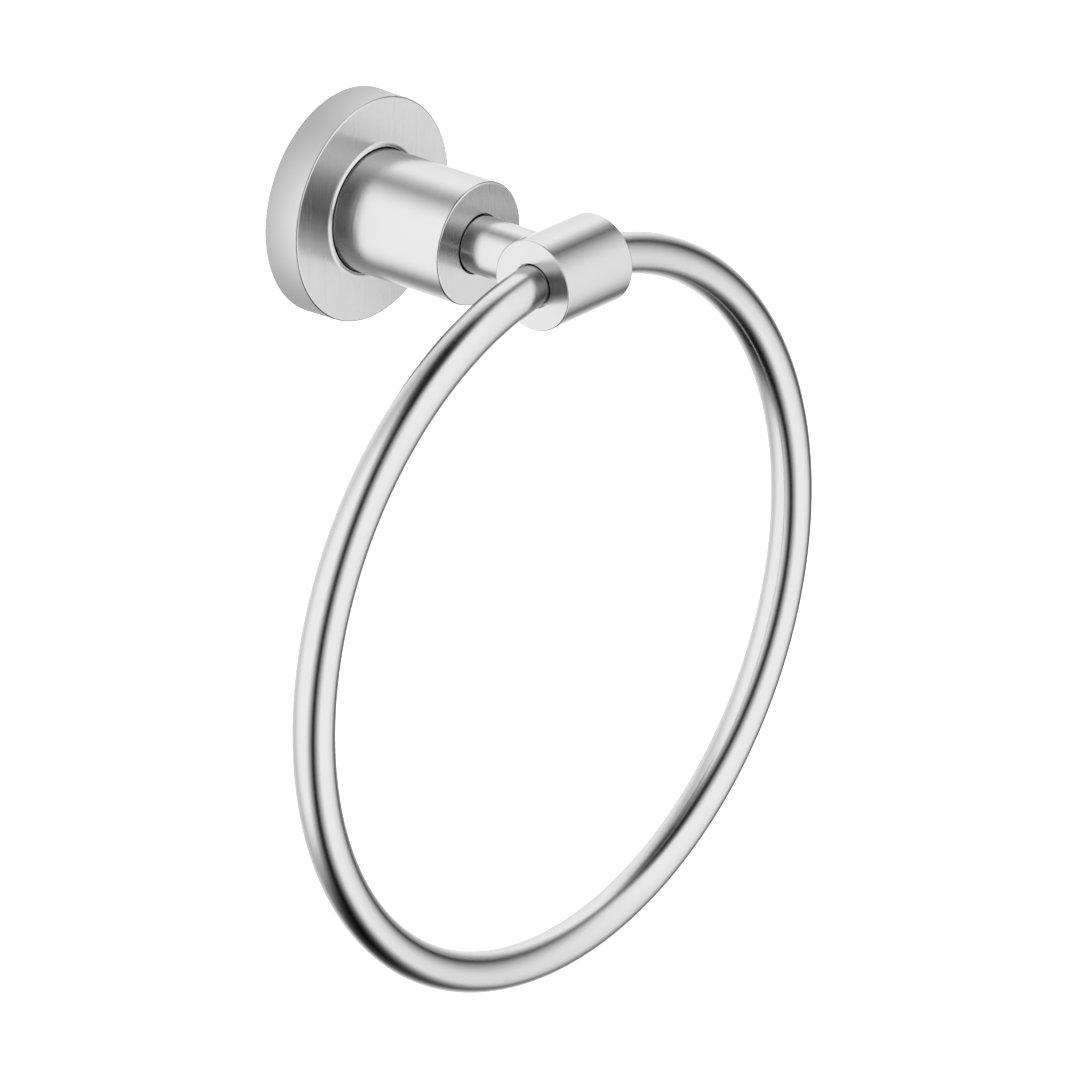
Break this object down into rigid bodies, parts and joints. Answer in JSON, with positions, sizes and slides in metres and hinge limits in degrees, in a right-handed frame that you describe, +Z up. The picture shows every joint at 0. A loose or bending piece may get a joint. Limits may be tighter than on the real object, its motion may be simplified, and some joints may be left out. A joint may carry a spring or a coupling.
{
  "type": "towel ring",
  "caption": "Wall-mounted towel ring: a round wall cover, a short post, and a neck with a cross barrel that holds a round bar ring by its ends.",
  "frame": {"origin": "the middle of the cover's back, on the wall", "axes": "+Z up, +Y into the wall, the part stands out of the wall along -Y, the ring hangs in a plane parallel to XZ"},
  "size_m": [0.171, 0.0726, 0.1911],
  "materials": {
    "brushed_metal": "satin, brushed",
    "plate_steel": "plain, bright",
    "screw_steel": "plain",
    "seal_rubber": "matte"
  },
  "bodies": {
    "root": {"wall_plate": "plate_steel", "plate_boss": "plate_steel", "boss_screw": "screw_steel", "boss_pin": "screw_steel", "flange_cover": "brushed_metal", "flange_seal_ring": "seal_rubber", "post": "brushed_metal", "post_grub_screw": "screw_steel", "neck_screw": "screw_steel", "neck_washer": "screw_steel", "neck_pin": "screw_steel", "ring_holder": "brushed_metal", "ring_grub_screw_left": "screw_steel", "ring_grub_screw_right": "screw_steel", "towel_ring": "brushed_metal"}
  },
  "joints": []
}
